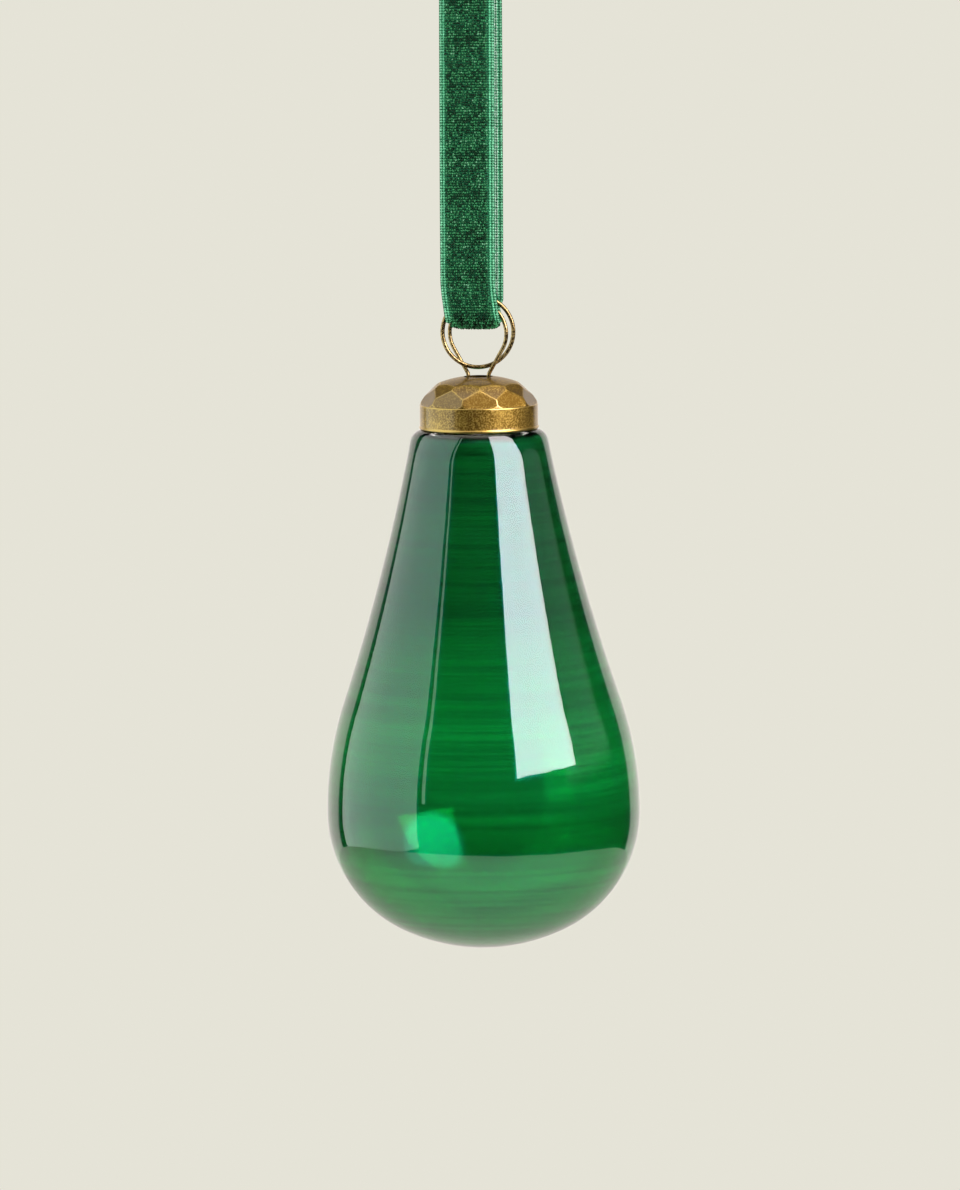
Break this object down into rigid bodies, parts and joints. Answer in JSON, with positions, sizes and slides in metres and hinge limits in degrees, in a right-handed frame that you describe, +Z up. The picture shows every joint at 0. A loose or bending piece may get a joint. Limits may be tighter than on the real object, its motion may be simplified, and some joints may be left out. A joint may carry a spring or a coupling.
{
  "type": "glass pear ornament",
  "caption": "Hanging pear-shaped blown glass ornament with a facetted brass cap, a sprung wire eye, a linked ring and a velvet ribbon loop.",
  "frame": {"origin": "where the inside of the ribbon loop lies on the hook or twig that holds the ornament", "axes": "+Z up, against the pull of the ornament's weight; +X along the ribbon's width; the side seen in the picture faces -Y, turned about 11 degrees toward +X"},
  "size_m": [0.056, 0.056, 0.1799],
  "materials": {
    "velvet": "cut velvet pile with a woven edge",
    "thread": "polyester sewing thread",
    "brass_wire": "aged bare wire",
    "brass_cap": "aged, rubbed bright on the ridges",
    "green_glass": "clear blown glass with a green coat brushed on its inside"
  },
  "bodies": {
    "ribbon": {"velvet_ribbon": "velvet", "seam_thread": "thread"},
    "hanger": {"hanger_wire": "brass_wire"},
    "ring": {"hanging_ring": "brass_wire"},
    "cap": {"cap": "brass_cap"},
    "glass": {"glass_body": "green_glass"}
  },
  "joints": [
    {"name": "ornament_swing", "type": "hinge", "parent": "ribbon", "child": "hanger", "pos_m": [0, 0, -0.0656], "axis": [1, 0, 0], "range_deg": [-20, 20]},
    {"name": "ring_turn", "type": "hinge", "parent": "hanger", "child": "ring", "pos_m": [0, 0, -0.0677], "axis": [-0.1908, 0.9816, 0], "continuous": true},
    {"name": "cap_swivel", "type": "hinge", "parent": "hanger", "child": "cap", "pos_m": [0, 0, -0.0807], "axis": [0, 0, 1], "continuous": true},
    {"name": "glass_pull", "type": "slide", "parent": "cap", "child": "glass", "axis": [0, 0, -1], "range_m": [0, 0.03]}
  ]
}
